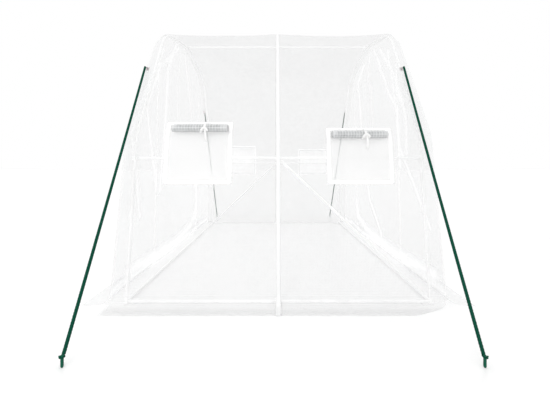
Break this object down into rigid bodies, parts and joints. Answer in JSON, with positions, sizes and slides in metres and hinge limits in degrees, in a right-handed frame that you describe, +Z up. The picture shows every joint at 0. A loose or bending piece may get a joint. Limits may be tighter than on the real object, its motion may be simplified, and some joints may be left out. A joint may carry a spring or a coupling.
{
  "type": "plastic greenhouse",
  "caption": "Walk-in tunnel greenhouse: white steel-tube hoops and rails under a translucent film cover, with netted windows, roll-up doors, ground skirt and guy ropes.",
  "frame": {"origin": "on the ground in the middle of the plan, level with the undersides of the feet", "axes": "+X along the tunnel, from the left end to the right end; +Y from the near long side, the one seen, to the far one; +Z up"},
  "size_m": [2.2688, 2.9154, 2.0149],
  "materials": {
    "white_tube": "white powder coat, satin",
    "film": "translucent film, soft sheen",
    "welded_strip": "double film strip, soft sheen",
    "net": "white fly net and hook-and-loop border, matt",
    "rolled_flap": "pale grey reinforced film rolled up, soft sheen",
    "strap": "white woven strap, matt",
    "zip_slider": "pale grey moulded plastic",
    "rope": "dark green braided rope, matt",
    "peg": "dark green moulded plastic"
  },
  "bodies": {
    "greenhouse": {"near_left_leg": "white_tube", "near_left_bow": "white_tube", "near_centre_leg": "white_tube", "near_centre_bow": "white_tube", "near_right_leg": "white_tube", "near_right_bow": "white_tube", "far_left_leg": "white_tube", "far_left_bow": "white_tube", "far_centre_leg": "white_tube", "far_centre_bow": "white_tube", "far_right_leg": "white_tube", "far_right_bow": "white_tube", "near_left_base_rail": "white_tube", "near_left_mid_rail": "white_tube", "near_right_base_rail": "white_tube", "near_right_mid_rail": "white_tube", "far_left_base_rail": "white_tube", "far_left_mid_rail": "white_tube", "far_right_base_rail": "white_tube", "far_right_mid_rail": "white_tube", "near_brace": "white_tube", "far_brace": "white_tube", "centre_ridge_cross": "white_tube", "left_ridge_rail": "white_tube", "left_end_base_rail": "white_tube", "right_ridge_rail": "white_tube", "right_end_base_rail": "white_tube", "cover_left": "film", "left_end_wall": "film", "left_door": "film", "cover_right": "film", "right_end_wall": "film", "right_door": "film", "centre_seam": "welded_strip", "near_left_window": "net", "near_left_rope": "rope", "near_left_peg": "peg", "near_right_window": "net", "near_right_rope": "rope", "near_right_peg": "peg", "far_left_window": "net", "far_left_rope": "rope", "far_left_peg": "peg", "far_right_window": "net", "far_right_rope": "rope", "far_right_peg": "peg"},
    "near_left_flap": {"near_left_roll": "rolled_flap", "near_left_tie": "strap"},
    "near_left_slider": {"near_left_zip_slider": "zip_slider"},
    "near_right_flap": {"near_right_roll": "rolled_flap", "near_right_tie": "strap"},
    "near_right_slider": {"near_right_zip_slider": "zip_slider"},
    "far_left_flap": {"far_left_roll": "rolled_flap", "far_left_tie": "strap"},
    "far_left_slider": {"far_left_zip_slider": "zip_slider"},
    "far_right_flap": {"far_right_roll": "rolled_flap", "far_right_tie": "strap"},
    "far_right_slider": {"far_right_zip_slider": "zip_slider"},
    "left_door_lift": {"left_door_hem": "film"},
    "right_door_lift": {"right_door_hem": "film"}
  },
  "joints": [
    {"name": "near_left_flap_roll_down", "type": "slide", "parent": "greenhouse", "child": "near_left_flap", "axis": [0, -0.1059, -0.9944], "range_m": [0, 0.32]},
    {"name": "near_right_flap_roll_down", "type": "slide", "parent": "greenhouse", "child": "near_right_flap", "axis": [0, -0.1059, -0.9944], "range_m": [0, 0.285]},
    {"name": "far_left_flap_roll_down", "type": "slide", "parent": "greenhouse", "child": "far_left_flap", "axis": [0, 0.1059, -0.9944], "range_m": [0, 0.32]},
    {"name": "far_right_flap_roll_down", "type": "slide", "parent": "greenhouse", "child": "far_right_flap", "axis": [0, 0.1059, -0.9944], "range_m": [0, 0.285]},
    {"name": "left_door_roll_up", "type": "slide", "parent": "greenhouse", "child": "left_door_lift", "axis": [0.024, 0, 0.9997], "range_m": [0, 1.45], "deforming": ["left_door"]},
    {"name": "right_door_roll_up", "type": "slide", "parent": "greenhouse", "child": "right_door_lift", "axis": [-0.024, 0, 0.9997], "range_m": [0, 1.45], "deforming": ["right_door"]},
    {"name": "near_left_zip", "type": "slide", "parent": "greenhouse", "child": "near_left_slider", "axis": [0.024, 0, 0.9997], "range_m": [0, 1.54]},
    {"name": "near_right_zip", "type": "slide", "parent": "greenhouse", "child": "near_right_slider", "axis": [-0.024, 0, 0.9997], "range_m": [0, 1.54]},
    {"name": "far_left_zip", "type": "slide", "parent": "greenhouse", "child": "far_left_slider", "axis": [0.024, 0, 0.9997], "range_m": [0, 1.54]},
    {"name": "far_right_zip", "type": "slide", "parent": "greenhouse", "child": "far_right_slider", "axis": [-0.024, 0, 0.9997], "range_m": [0, 1.54]}
  ]
}
